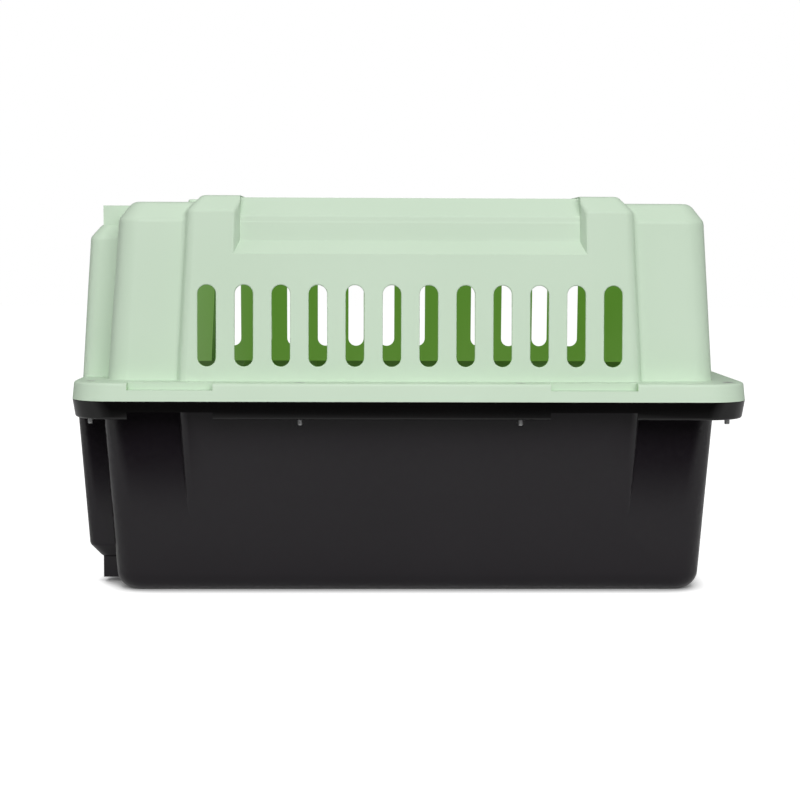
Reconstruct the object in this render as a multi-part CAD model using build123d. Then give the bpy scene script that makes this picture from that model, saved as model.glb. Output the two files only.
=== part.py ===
from build123d import *
from collections import namedtuple
import os

# Small two-part pet carrier. The door end is at -X, the long side that carries
# twelve vent slots faces -Y, and the flat bottom stands on z = 0.
# All sizes are in millimetres.

# Walls and the rim where the two shells meet
wall = 2.5
rim_half_length = 243.6
rim_half_width = 160.0
rim_corner = 30.0
rim_draft = 1.2
rim_top_z = 156.2
split_z = 143.3
rim_bottom_z = 130.2
rim_edge_round = 2.0
foot_round = 14.0

# Clip seats in the rim, as X ranges, on both long sides
seat_ranges = ((-201.3, -140.5), (99.7, 161.8))
seat_floor_z = 151.1
seat_depth = 10.0
skirt_notch_z = 135.5

# Vent slots
vent_count = 12
vent_pitch = 26.62
vent_width = 13.2
vent_low_z = 166.8
vent_high_z = 225.4
vent_edge_round = 0.8
back_vent_count = 6

# Recess along the upper side walls, under the handle
recess_half_length = 127.0
recess_ledge_z = (247.7, 257.4)
recess_depth = 8.0
recess_bevel_z = 275.5
recess_bevel_run = 12.5
recess_end_slope = 4.0
recess_round = 4.0
recess_end_round = 3.0
middle_top_z = 288.4

# Soft inner corners where the three forms of the top shell meet
step_round = 4.0

# Low pad on the roof in front of the centre section
pad_x = (-166.5, -148.0)
pad_half_width = 60.0
pad_top_z = 288.2
pad_corner = 4.0
pad_edge_round = 1.5

# Door way and the tunnel behind the front hoop
door_half_width = 81.0
door_low_z = 36.0
door_high_z = 253.0
door_corner = 5.0
stop_face_x = -213.6
stop_reach = 4.0
stop_corner = 9.0
block_half_width = 7.5
top_block_x = -226.8
top_block_z = 282.7
bottom_block_x = -229.2
bottom_block_z = 3.9
block_back_x = -211.2
hoop_back_x = -190.0

# Wire door, with its hinge at the -Y side
hinge_x = -219.0
hinge_y = -76.5
frame_wire = 4.0
upright_wire = 3.0
weld_bite = 0.15
frame_low_z = 41.0
frame_high_z = 248.0
hinge_stile_y = -72.65
latch_stile_y = 71.0
frame_bend = 9.0
upright_count = 7
upright_pitch = 18.0
first_upright_y = -55.0
crossbar_count = 3
running_gap = 0.05
hinge_rod_low_z = 11.0
hinge_rod_high_z = 277.5

# Latch on the door's free edge, drawn with both rods pulled back
latch_y = 76.5
latch_mid_z = (frame_low_z + frame_high_z) / 2
latch_travel = 12.0
rod_tip_gap = 2.5
socket_radius = 2.4
case_half_height = 34.0
case_y = (62.0, 80.0)
case_front_x = -228.0
case_back_x = -214.3
case_split_x = -219.0
case_wall = 1.6
web_half = 1.5
spring_length = 7.0
slide_height = 10.0
guide_z = (56.0, 233.0)
case_screw_y = 65.5
case_screw_offset = 24.0
case_screw_radius = 1.2
guide_radius = 3.4
guide_length = 9.0

# Carry handle, folded into a well in the top
well_half_length = 100.0
well_half_width = 51.0
well_floor_z = 268.4
well_corner = 10.0
pivot_z = 281.2
handle_thick = 12.0
handle_half_length = 94.0
arm_width = 10.0
handle_reach = 39.0
grip_width = 14.0
grip_outer_corner = 13.0
grip_inner_corner = 8.0
pin_radius = 3.0
pin_bore_start = 72.0
lug_radius = 6.5
lug_width = 7.0
rest_rib_x = 62.0
side_gap = 0.6

# Rim screws
screw_radius = 2.0
screw_hole_radius = 2.25
screw_head_radius = 4.0
screw_tip_z = 125.7
screw_row_y = 148.6
screw_row_x = 79.0
screw_corner = (230.0, 137.0)
pillar_radius = 4.5
washer_radius = 4.5
washer_thick = 0.8
nut_flat = 7.0
nut_thick = 3.2

# A level is a rounded rectangle at one height of a tapered block.
Level = namedtuple("Level", "z x_low x_high half_y corner")


def even_level(z, half_x, half_y, corner):
    return Level(z, -half_x, half_x, half_y, corner)


def front_level(z, front_x, half_y, corner):
    return Level(z, front_x, hoop_back_x, half_y, corner)


# End portions, the proud centre section and the front hoop of the top shell
plate_under_z = rim_top_z - wall
top_ends = (
    Level(plate_under_z, -220.2, 222.4, 131.3, 16.0),
    Level(272.0, -211.8, 215.3, 124.8, 16.0),
    Level(285.0, -202.5, 206.0, 113.0, 11.0),
)
top_centre = (
    even_level(plate_under_z, 167.8, 139.3, 7.0),
    even_level(278.8, 161.1, 132.2, 7.0),
    even_level(289.7, 151.0, 121.5, 5.0),
)
top_hoop = (
    front_level(split_z, -243.6, 95.4, 9.0),
    front_level(259.0, -236.2, 92.3, 9.0),
    front_level(268.6, -228.5, 84.0, 7.0),
)

# The same three forms of the bottom shell, from the foot up
bottom_ends = (
    even_level(0.0, 215.5, 122.4, 20.0),
    even_level(split_z, 224.5, 131.4, 16.0),
)
bottom_centre = (
    even_level(30.0, 162.6, 122.8, 7.0),
    even_level(split_z, 167.6, 140.8, 7.0),
)
bottom_hoop = (
    front_level(19.5, -230.5, 86.0, 7.0),
    front_level(30.0, -238.8, 95.0, 9.0),
    front_level(split_z, -247.0, 99.0, 9.0),
)


def tapered_block(levels):
    sections = []
    for level in levels:
        middle = (level.x_low + level.x_high) / 2
        outline = RectangleRounded(level.x_high - level.x_low, 2 * level.half_y, level.corner)
        sections.append(Pos(middle, 0, level.z) * outline)
    return loft(sections, ruled=True)


def loop_at(block, z):
    return block.edges().filter_by_position(Axis.Z, z - 0.01, z + 0.01)


def inset_levels(levels, low_shift, high_shift):
    """Levels moved in by one wall, with the lowest and highest shifted in height."""
    moved = []
    last = len(levels) - 1
    for index, level in enumerate(levels):
        shift = low_shift if index == 0 else high_shift if index == last else 0.0
        moved.append(
            Level(
                level.z + shift,
                level.x_low + wall,
                level.x_high - wall,
                level.half_y - wall,
                level.corner - wall,
            )
        )
    return moved


def open_levels(levels):
    """Inset levels of the top shell, carried straight down past the split."""
    inset = inset_levels(levels, 0, -wall)
    return [inset[0]._replace(z=split_z - 1)] + inset


def rounded_box(x_range, half_y, z_range, corner):
    """Box with rounded edges along X."""
    height = z_range[1] - z_range[0]
    outline = RectangleRounded(2 * half_y, height, corner)
    plane = Plane(
        origin=(x_range[0], 0, (z_range[0] + z_range[1]) / 2), x_dir=(0, 1, 0), z_dir=(1, 0, 0)
    )
    return extrude(plane * outline, amount=x_range[1] - x_range[0])


def span_box(x_range, y_range, z_range):
    size = [high - low for low, high in (x_range, y_range, z_range)]
    middle = [(high + low) / 2 for low, high in (x_range, y_range, z_range)]
    return Pos(*middle) * Box(*size)


def upright_cylinder(x, y, z_low, z_high, radius):
    return Pos(x, y, (z_low + z_high) / 2) * Cylinder(radius, z_high - z_low)


def screw_places():
    places = []
    for side in (-1, 1):
        for end in (-1, 1):
            places.append((end * screw_row_x, side * screw_row_y))
            places.append((end * screw_corner[0], side * screw_corner[1]))
    return places


def rim_band(low_z, high_z, low_inset, high_inset):
    """Solid band of the rim's outline, whose two faces are set in by different amounts."""
    return tapered_block(
        (
            even_level(
                low_z, rim_half_length - low_inset, rim_half_width - low_inset, rim_corner
            ),
            even_level(
                high_z, rim_half_length - high_inset, rim_half_width - high_inset, rim_corner
            ),
        )
    )


def seat_boxes(margin, floor_z, depth):
    boxes = []
    for low, high in seat_ranges:
        for side in (-1, 1):
            inner = side * (rim_half_width - depth)
            outer = side * (rim_half_width + 5)
            y_range = (min(inner, outer), max(inner, outer))
            boxes.append(
                span_box((low - margin, high + margin), y_range, (floor_z, rim_top_z + 1))
            )
    return boxes


def tunnel(hoop):
    """Four walls of the door way behind the hoop's front face."""
    box = rounded_box(
        (hinge_x - 40, stop_face_x + wall),
        door_half_width + wall,
        (door_low_z - wall, door_high_z + wall),
        door_corner + wall,
    )
    return box & hoop


def door_way():
    mouth = rounded_box(
        (hinge_x - 45, stop_face_x), door_half_width, (door_low_z, door_high_z), door_corner
    )
    throat = rounded_box(
        (stop_face_x - 1, stop_face_x + 12),
        door_half_width - stop_reach,
        (door_low_z + stop_reach, door_high_z - stop_reach),
        stop_corner,
    )
    return mouth + throat


def vent_row():
    """Round-ended slots through both side walls, then those of the back wall."""
    height = vent_high_z - vent_low_z
    middle = (vent_high_z + vent_low_z) / 2
    outline = SlotOverall(height, vent_width, rotation=90)
    slots = []
    for index in range(vent_count):
        x = (index - (vent_count - 1) / 2) * vent_pitch
        plane = Plane(origin=(x, 0, middle), x_dir=(1, 0, 0), z_dir=(0, -1, 0))
        slots.append(extrude(plane * outline, amount=160, both=True))
    for index in range(back_vent_count):
        y = (index - (back_vent_count - 1) / 2) * vent_pitch
        plane = Plane(origin=(200, y, middle), x_dir=(0, 1, 0), z_dir=(1, 0, 0))
        slots.append(extrude(plane * outline, amount=40))
    return slots


def vent_rims(shell):
    """Edges of the vents on the outer faces of the side walls and the back wall."""
    rims = []
    low, high = top_ends[0], top_ends[1]
    back_slope = (low.x_high - high.x_high) / (high.z - low.z)
    for edge in shell.edges():
        box = edge.bounding_box()
        if box.min.Z < vent_low_z - 0.1 or box.max.Z > vent_high_z + 0.1:
            continue
        spot = edge.position_at(0.5)
        back_x = low.x_high - back_slope * (spot.Z - low.z)
        on_side = abs(abs(spot.Y) - side_wall_y(spot.Z)) < 0.3
        on_back = abs(spot.X - back_x) < 0.3
        if on_side or on_back:
            rims.append(edge)
    return rims


def side_wall_y(z):
    """Distance of the centre section's outer wall from the middle plane."""
    low, high = top_centre[0], top_centre[1]
    slope = (low.half_y - high.half_y) / (high.z - low.z)
    return low.half_y - slope * (z - low.z)


def middle_profile():
    """Cross-section of the top shell where its side walls are set back."""
    ledge_low, ledge_high = recess_ledge_z
    half = (
        (side_wall_y(split_z), split_z),
        (side_wall_y(ledge_low), ledge_low),
        (side_wall_y(ledge_high) - recess_depth, ledge_high),
        (side_wall_y(recess_bevel_z) - recess_depth, recess_bevel_z),
        (side_wall_y(recess_bevel_z) - recess_depth - recess_bevel_run, middle_top_z),
    )
    outline = list(half) + [(-y, z) for y, z in reversed(half)]
    face = make_face(Polyline(*outline, close=True))
    corners = [v for v in face.vertices() if ledge_high - 1 < v.Y < middle_top_z - 1]
    return fillet(corners, recess_round)


def side_recess():
    """What is cut from the centre section's upper middle, on both sides and on top."""
    kept = extrude(Plane.YZ * middle_profile(), amount=200, both=True)
    low_x = recess_half_length - recess_end_slope
    high_x = recess_half_length + recess_end_slope / 2
    inner_y = side_wall_y(recess_ledge_z[1]) - recess_depth
    outer_y = side_wall_y(recess_ledge_z[0]) + recess_end_slope
    corners = ((low_x, inner_y), (high_x, outer_y))
    right = [(x, -y) for x, y in corners[::-1]] + list(corners)
    left = [(-x, -y) for x, y in right]
    plan = make_face(Polyline(*right, *left, close=True))
    region = extrude(Pos(0, 0, recess_ledge_z[0]) * plan, amount=60)
    return region - kept


def middle_hollow():
    """Inside of the set-back part, one wall in from its cross-section."""
    inner = offset(middle_profile(), amount=-(wall + 0.05), kind=Kind.INTERSECTION)
    return extrude(Plane.YZ * inner, amount=recess_half_length + 5, both=True)


def recess_end_edges(centre):
    """The four outer edges of the recess's sloped ends."""
    edges = []
    for edge in centre.edges():
        spot = edge.position_at(0.5)
        on_end = abs(abs(spot.X) - recess_half_length + 0.3) < 0.8
        on_wall = abs(abs(spot.Y) - side_wall_y(spot.Z)) < 1.0
        if on_end and on_wall and edge.length > recess_depth * 2:
            edges.append(edge)
    return edges


def step_edges(body, x_range, y_range):
    """Long upright edges whose middle lies in the given ranges, on either side."""
    edges = []
    for edge in body.edges():
        spot = edge.position_at(0.5)
        in_x = x_range[0] < abs(spot.X) < x_range[1]
        in_y = y_range[0] < abs(spot.Y) < y_range[1]
        if in_x and in_y and edge.length > 60:
            edges.append(edge)
    return edges


def roof_pad():
    pad = span_box(pad_x, (-pad_half_width, pad_half_width), (top_ends[1].z, pad_top_z))
    pad = fillet(pad.edges().filter_by(Axis.Z).sort_by(Axis.X)[:2], pad_corner)
    return fillet(pad.edges().group_by(Axis.Z)[-1], pad_edge_round)


def top_outer():
    ends = tapered_block(top_ends)
    ends = fillet(loop_at(ends, top_ends[2].z), 9)
    ends = fillet(loop_at(ends, top_ends[1].z), 6)
    centre = tapered_block(top_centre)
    centre = fillet(loop_at(centre, top_centre[2].z), 6)
    centre = fillet(loop_at(centre, top_centre[1].z), 4)
    centre = centre - side_recess()
    centre = fillet(recess_end_edges(centre), recess_end_round)
    hoop = tapered_block(top_hoop)
    hoop = fillet(loop_at(hoop, top_hoop[2].z), 5)
    hoop = fillet(loop_at(hoop, top_hoop[1].z), 5)
    outer = ends + centre + hoop
    outer = fillet(step_edges(outer, (161, 168), (127, 129)), step_round)
    outer = fillet(step_edges(outer, (214, 218), (90, 97)), step_round)
    return outer + roof_pad(), hoop


def top_hollow():
    ends = tapered_block(open_levels(top_ends))
    centre = tapered_block(open_levels(top_centre))
    hoop = tapered_block(inset_levels(top_hoop, -1.0, -wall))
    reach = recess_half_length + 5
    upper = span_box((-reach, reach), (-160, 160), (recess_ledge_z[0] - 8, 300))
    centre = centre - upper + (middle_hollow() & upper)
    return ends + centre + hoop


def top_rim():
    band = rim_band(split_z, rim_top_z, 0, rim_draft)
    band = fillet(loop_at(band, rim_top_z), rim_edge_round)
    hollow = rim_band(split_z - 1, plate_under_z, wall, wall + rim_draft)
    for box in seat_boxes(wall, seat_floor_z - wall, seat_depth + wall):
        hollow = hollow - box
    rim = band - hollow
    for x, y in screw_places():
        rim = rim + upright_cylinder(x, y, split_z, plate_under_z, pillar_radius)
    return rim


def socket_block(front_x, z_low, z_high, back_x):
    blocks = []
    for y in (hinge_y, latch_y):
        block = span_box(
            (front_x, back_x), (y - block_half_width, y + block_half_width), (z_low, z_high)
        )
        blocks.append(block)
    return blocks


def handle_lugs():
    """Four ears that carry the two pivot pins, and four ribs that the handle rests on."""
    parts = []
    eye_low = handle_half_length - arm_width - side_gap
    eye_high = handle_half_length + side_gap
    for end in (-1, 1):
        for near, far in ((eye_low - lug_width, eye_low), (eye_high, well_half_length + 1)):
            x_range = (min(end * near, end * far), max(end * near, end * far))
            foot = span_box(x_range, (-lug_radius, lug_radius), (well_floor_z - 1, pivot_z))
            axle = Pos((x_range[0] + x_range[1]) / 2, 0, pivot_z) * Rot(0, 90, 0)
            parts.append(foot + axle * Cylinder(lug_radius, x_range[1] - x_range[0]))
        for side in (-1, 1):
            rib = Pos(end * rest_rib_x, side * (handle_reach + 1), 0)
            rest_z = pivot_z - handle_thick / 2 - 0.3
            parts.append(rib * span_box((-2, 2), (-5, 5), (well_floor_z - 1, rest_z)))
    return parts


def well():
    outer_plan = RectangleRounded(
        2 * (well_half_length + wall), 2 * (well_half_width + wall), well_corner + wall
    )
    inner_plan = RectangleRounded(2 * well_half_length, 2 * well_half_width, well_corner)
    depth = middle_top_z - well_floor_z
    outer = extrude(Pos(0, 0, well_floor_z - wall) * outer_plan, amount=depth + wall)
    inner = extrude(Pos(0, 0, well_floor_z) * inner_plan, amount=depth + 10)
    return outer, inner


def make_top_shell():
    outer, hoop = top_outer()
    shell = top_rim() + outer
    for block in socket_block(top_block_x, top_hoop[1].z, top_block_z, hoop_back_x):
        shell = shell + block
    shell = shell - top_hollow()
    well_outer, well_inner = well()
    shell = shell + well_outer + tunnel(hoop)
    for block in socket_block(top_block_x, door_high_z, top_block_z, block_back_x):
        shell = shell + block
    shell = shell - span_box((-300, 300), (-200, 200), (split_z - 50, split_z))
    shell = shell - door_way() - well_inner
    shell = shell - vent_row()
    shell = fillet(vent_rims(shell), vent_edge_round)
    shell = shell - seat_boxes(0, seat_floor_z, seat_depth)
    for part in handle_lugs():
        shell = shell + part
    pin_run = well_half_length - 1
    for end in (-1, 1):
        bore = Pos(end * (pin_run + pin_bore_start) / 2, 0, pivot_z) * Rot(0, 90, 0)
        shell = shell - bore * Cylinder(pin_radius, pin_run - pin_bore_start)
    rod_bore = frame_wire / 2 + running_gap
    near_corner_z = door_high_z - door_corner
    shell = shell - upright_cylinder(
        hinge_x, hinge_y, near_corner_z, hinge_rod_high_z + 0.5, rod_bore
    )
    shell = shell - upright_cylinder(
        hinge_x, latch_y, near_corner_z, door_high_z + latch_travel + 3, socket_radius
    )
    for x, y in screw_places():
        shell = shell - upright_cylinder(x, y, split_z - 1, rim_top_z + 1, screw_hole_radius)
        head_depth = screw_head_radius - screw_radius
        cone = Pos(x, y, rim_top_z - head_depth / 2) * Cone(
            screw_radius, screw_head_radius, head_depth
        )
        shell = shell - cone
    return shell


def make_bottom_shell():
    ends = tapered_block(bottom_ends)
    ends = fillet(loop_at(ends, 0.0), foot_round)
    centre = tapered_block(bottom_centre)
    hoop = tapered_block(bottom_hoop)
    hoop = fillet(loop_at(hoop, bottom_hoop[0].z), 4)
    hoop = fillet(loop_at(hoop, bottom_hoop[1].z), 4)
    band = rim_band(rim_bottom_z, split_z, rim_draft + 0.6, 0)
    band = fillet(loop_at(band, rim_bottom_z), rim_edge_round)
    plate_low_z = split_z - wall
    rim = band - rim_band(rim_bottom_z - 1, plate_low_z, wall + rim_draft + 0.6, wall)
    shell = rim + ends + centre + hoop
    for block in socket_block(bottom_block_x, bottom_block_z, bottom_hoop[1].z, hoop_back_x):
        shell = shell + block
    ends_in = tapered_block(inset_levels(bottom_ends, wall, 0))
    ends_in = fillet(loop_at(ends_in, wall), foot_round - wall)
    hollow = ends_in + tapered_block(inset_levels(bottom_centre, 0, 0))
    hollow = hollow + tapered_block(inset_levels(bottom_hoop, wall, 0))
    shell = shell - hollow
    shell = shell + tunnel(hoop)
    for block in socket_block(bottom_block_x, bottom_block_z, door_low_z, block_back_x):
        shell = shell + block
    shell = shell - span_box((-300, 300), (-200, 200), (split_z, split_z + 150))
    shell = shell - door_way()
    for low, high in seat_ranges:
        notch = span_box(
            (low, high), (-rim_half_width - 5, rim_half_width + 5), (rim_bottom_z - 1, skirt_notch_z)
        )
        keep = span_box(
            (low - 1, high + 1), (-screw_row_y, screw_row_y), (rim_bottom_z - 2, skirt_notch_z + 1)
        )
        shell = shell - (notch - keep)
    rod_bore = frame_wire / 2 + running_gap
    near_corner_z = door_low_z + door_corner
    shell = shell - upright_cylinder(
        hinge_x, hinge_y, hinge_rod_low_z - 0.5, near_corner_z, rod_bore
    )
    shell = shell - upright_cylinder(
        hinge_x, latch_y, door_low_z - latch_travel - 3, near_corner_z, socket_radius
    )
    for x, y in screw_places():
        shell = shell - upright_cylinder(x, y, rim_bottom_z, split_z + 1, screw_hole_radius)
    return shell


def make_rim_screws():
    screws = []
    head_depth = screw_head_radius - screw_radius
    for x, y in screw_places():
        shank = upright_cylinder(x, y, screw_tip_z, rim_top_z - head_depth, screw_radius)
        head = Pos(x, y, rim_top_z - head_depth / 2) * Cone(
            screw_radius, screw_head_radius, head_depth
        )
        drive = Pos(x, y, rim_top_z) * (Box(4.4, 0.9, 2.4) + Box(0.9, 4.4, 2.4))
        tip = shank.edges().group_by(Axis.Z)[0]
        screws.append(chamfer(tip, 0.4) + head - drive)
    return screws


def make_rim_washers():
    top = split_z - wall
    rings = []
    for x, y in screw_places():
        ring = upright_cylinder(x, y, top - washer_thick, top, washer_radius)
        rings.append(ring - upright_cylinder(x, y, top - 2, top + 1, screw_hole_radius))
    return rings


def make_rim_nuts():
    top = split_z - wall - washer_thick
    nuts = []
    for x, y in screw_places():
        hexagon = RegularPolygon(nut_flat / 2, 6, major_radius=False)
        nut = extrude(Pos(x, y, top - nut_thick) * hexagon, amount=nut_thick)
        nuts.append(nut - upright_cylinder(x, y, top - 5, top + 1, screw_radius + 0.02))
    return nuts


def wire_along_y(x, z, y_low, y_high, radius):
    return Pos(x, (y_low + y_high) / 2, z) * Rot(90, 0, 0) * Cylinder(radius, y_high - y_low)


def make_door_frame():
    low_y, high_y = hinge_stile_y, latch_stile_y
    plane = Plane(
        origin=(hinge_x, (low_y + high_y) / 2, (frame_low_z + frame_high_z) / 2),
        x_dir=(0, 1, 0),
        z_dir=(1, 0, 0),
    )
    loop = plane * RectangleRounded(high_y - low_y, frame_high_z - frame_low_z, frame_bend)
    path = loop.wire()
    start = path @ 0
    section = Plane(origin=start, z_dir=path % 0) * Circle(frame_wire / 2)
    return sweep(section, path=path)


def crossbar_heights():
    step = (frame_high_z - frame_low_z) / (crossbar_count + 1)
    return [frame_low_z + step * (index + 1) for index in range(crossbar_count)]


def make_door_crossbars():
    reach = frame_wire / 2 - weld_bite
    bars = []
    for z in crossbar_heights():
        bars.append(
            wire_along_y(hinge_x, z, hinge_stile_y + reach, latch_stile_y - reach, frame_wire / 2)
        )
    return bars


def make_door_uprights():
    x = hinge_x + frame_wire / 2 + upright_wire / 2 - weld_bite
    bars = []
    for index in range(upright_count):
        y = first_upright_y + index * upright_pitch
        bars.append(upright_cylinder(x, y, frame_low_z - 1.5, frame_high_z + 1.5, upright_wire / 2))
    return bars


def make_hinge_rod():
    rod = upright_cylinder(hinge_x, hinge_y, hinge_rod_low_z, hinge_rod_high_z, frame_wire / 2)
    return chamfer(rod.edges().filter_by(GeomType.CIRCLE), 0.4)


def make_rod_guides():
    """Short tubes on the free stile, in which the two latch rods slide."""
    guides = []
    for z in guide_z:
        tube = upright_cylinder(
            hinge_x, latch_y, z - guide_length / 2, z + guide_length / 2, guide_radius
        )
        bore = upright_cylinder(
            hinge_x, latch_y, z - guide_length, z + guide_length, frame_wire / 2 + running_gap
        )
        lug = span_box(
            (hinge_x - 1.5, hinge_x + 1.5),
            (latch_stile_y + frame_wire / 2 - weld_bite, latch_y),
            (z - guide_length / 2, z + guide_length / 2),
        )
        guides.append(tube + lug - bore)
    return guides


def case_cavity():
    low_z = latch_mid_z - case_half_height + case_wall
    high_z = latch_mid_z + case_half_height - case_wall
    cavity = span_box(
        (case_front_x + case_wall, case_back_x - case_wall + 0.2),
        (latch_stile_y + 2.4, case_y[1] - 0.9),
        (low_z, high_z),
    )
    web = span_box(
        (case_front_x, case_back_x), case_y, (latch_mid_z - web_half, latch_mid_z + web_half)
    )
    return cavity - web


def latch_case():
    block = span_box(
        (case_front_x, case_back_x),
        case_y,
        (latch_mid_z - case_half_height, latch_mid_z + case_half_height),
    )
    outer_edges = block.edges().filter_by(Axis.X)
    block = fillet(outer_edges, 4)
    block = fillet(block.edges().group_by(Axis.X)[0], 1.5)
    block = block - case_cavity()
    window = span_box(
        (case_front_x - 1, case_front_x + 4),
        (latch_y - 2.2, latch_y + 2.2),
        (
            latch_mid_z - web_half - spring_length - latch_travel - slide_height,
            latch_mid_z + web_half + spring_length + latch_travel + slide_height,
        ),
    )
    block = block - window
    stile = upright_cylinder(
        hinge_x, latch_stile_y, frame_low_z, frame_high_z, frame_wire / 2 + 0.02
    )
    bar = wire_along_y(hinge_x, latch_mid_z, 0, latch_stile_y, frame_wire / 2 + 0.02)
    rod_way = upright_cylinder(
        hinge_x, latch_y, frame_low_z, frame_high_z, frame_wire / 2 + running_gap
    )
    return block - stile - bar - rod_way


def case_screw_heights():
    return [latch_mid_z - case_screw_offset, latch_mid_z + case_screw_offset]


def make_case_screws():
    screws = []
    for z in case_screw_heights():
        axis = Pos(0, case_screw_y, z) * Rot(0, 90, 0)
        shank = Pos(case_back_x - 5.6, 0, 0) * axis * Cylinder(case_screw_radius, 9)
        head = Pos(case_back_x - 0.8, 0, 0) * axis * Cylinder(2.2, 1.6)
        slot = Pos(case_back_x, case_screw_y, z) * Box(1.0, 3.4, 0.7)
        screws.append(shank + head - slot)
    return screws


def case_screw_holes(z):
    axis = Pos(0, case_screw_y, z) * Rot(0, 90, 0)
    shank = Pos(case_back_x - 5.6, 0, 0) * axis * Cylinder(case_screw_radius, 9.2)
    head = Pos(case_back_x, 0, 0) * axis * Cylinder(2.25, 3.2)
    return shank + head


def make_latch_front():
    case = latch_case() & span_box((case_front_x - 1, case_split_x), (50, 90), (50, 230))
    for z in case_screw_heights():
        case = case - case_screw_holes(z)
    return case


def make_latch_back():
    case = latch_case() & span_box((case_split_x, case_back_x + 1), (50, 90), (50, 230))
    for z in case_screw_heights():
        case = case - case_screw_holes(z)
    return case


def slide_range(way):
    near = latch_mid_z + way * (web_half + spring_length)
    far = near + way * slide_height
    return min(near, far), max(near, far)


def make_latch_slide(way):
    """Thumb slide with its neck through the case window; way is 1 for the upper one."""
    z_low, z_high = slide_range(way)
    core = span_box((hinge_x - 4.5, hinge_x + 2.6), (latch_y - 2.4, latch_y + 2.2), (z_low, z_high))
    neck = span_box((case_front_x - 1.5, hinge_x), (latch_y - 1.8, latch_y + 1.8), (z_low, z_high))
    pad = span_box(
        (case_front_x - 5.0, case_front_x - 0.5),
        (latch_y - 8.0, latch_y + 3.0),
        (z_low - 0.5, z_high + 0.5),
    )
    pad = fillet(pad.edges().group_by(Axis.X)[0], 1.2)
    slide = core + neck + pad
    near = latch_mid_z + way * (web_half + spring_length + 2.0)
    low, high = min(near, near + way * 20), max(near, near + way * 20)
    return slide - upright_cylinder(hinge_x, latch_y, low, high, frame_wire / 2)


def make_latch_rod(way):
    inner = latch_mid_z + way * (web_half + spring_length + 2.0)
    tip = door_high_z - rod_tip_gap if way > 0 else door_low_z + rod_tip_gap
    low, high = min(inner, tip), max(inner, tip)
    rod = upright_cylinder(hinge_x, latch_y, low, high, frame_wire / 2)
    ends = rod.edges().filter_by(GeomType.CIRCLE).sort_by(Axis.Z)
    end = ends[-1] if way > 0 else ends[0]
    return chamfer(end, 0.6)


def make_latch_spring(way):
    near = latch_mid_z + way * web_half
    far = near + way * spring_length
    low, high = min(near, far), max(near, far)
    tube = upright_cylinder(hinge_x, latch_y, low, high, 2.2)
    return tube - upright_cylinder(hinge_x, latch_y, low - 1, high + 1, 1.6)


def make_carry_handle():
    half = handle_half_length
    outer_y = handle_reach + grip_width / 2
    inner_y = handle_reach - grip_width / 2
    outer = [(-half, 0), (-half, outer_y), (half, outer_y), (half, 0)]
    inner_half = half - arm_width
    inner = [(-inner_half, -1), (-inner_half, inner_y), (inner_half, inner_y), (inner_half, -1)]
    low = pivot_z - handle_thick / 2
    body = extrude(Pos(0, 0, low) * make_face(Polyline(*outer, close=True)), amount=handle_thick)
    corners = body.edges().filter_by(Axis.Z).sort_by(Axis.Y)[-2:]
    body = fillet(corners, grip_outer_corner)
    gap = extrude(Pos(0, 0, low - 1) * make_face(Polyline(*inner, close=True)), amount=20)
    corners = gap.edges().filter_by(Axis.Z).sort_by(Axis.Y)[-2:]
    gap = fillet(corners, grip_inner_corner)
    body = body - gap
    for end in (-1, 1):
        middle = end * (half - arm_width / 2)
        axle = Pos(middle, 0, pivot_z) * Rot(0, 90, 0)
        body = body + axle * Cylinder(handle_thick / 2, arm_width)
        body = body - axle * Cylinder(pin_radius + 0.06, arm_width + 2)
    return body


def make_handle_pins():
    pins = []
    inner = handle_half_length - arm_width - side_gap - lug_width
    outer = well_half_length - 1
    for end in (-1, 1):
        axle = Pos(end * (inner + outer) / 2, 0, pivot_z) * Rot(0, 90, 0)
        pin = axle * Cylinder(pin_radius, outer - inner)
        pins.append(chamfer(pin.edges().filter_by(GeomType.CIRCLE), 0.4))
    return pins


def write(node, shape):
    solids = shape if isinstance(shape, list) else [shape]
    solids = [piece for item in solids for piece in item.solids()]
    whole = solids[0] if len(solids) == 1 else Compound(children=solids)
    export_step(whole, f"parts/{node}.step")
    print(node, len(solids), round(sum(piece.volume for piece in solids)))


os.makedirs("parts", exist_ok=True)
write("top_shell", make_top_shell())
write("bottom_shell", make_bottom_shell())
write("rim_screws", make_rim_screws())
write("rim_washers", make_rim_washers())
write("rim_nuts", make_rim_nuts())
write("door_frame", make_door_frame())
write("door_crossbars", make_door_crossbars())
write("door_uprights", make_door_uprights())
write("hinge_rod", make_hinge_rod())
write("rod_guides", make_rod_guides())
write("latch_front", make_latch_front())
write("latch_back", make_latch_back())
write("latch_case_screws", make_case_screws())
write("upper_latch_slide", make_latch_slide(1))
write("lower_latch_slide", make_latch_slide(-1))
write("upper_latch_rod", make_latch_rod(1))
write("lower_latch_rod", make_latch_rod(-1))
write("upper_latch_spring", make_latch_spring(1))
write("lower_latch_spring", make_latch_spring(-1))
write("carry_handle", make_carry_handle())
write("handle_pins", make_handle_pins())
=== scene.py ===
import math

import bmesh
import bpy
import numpy as np
from mathutils import Matrix, Vector


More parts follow.
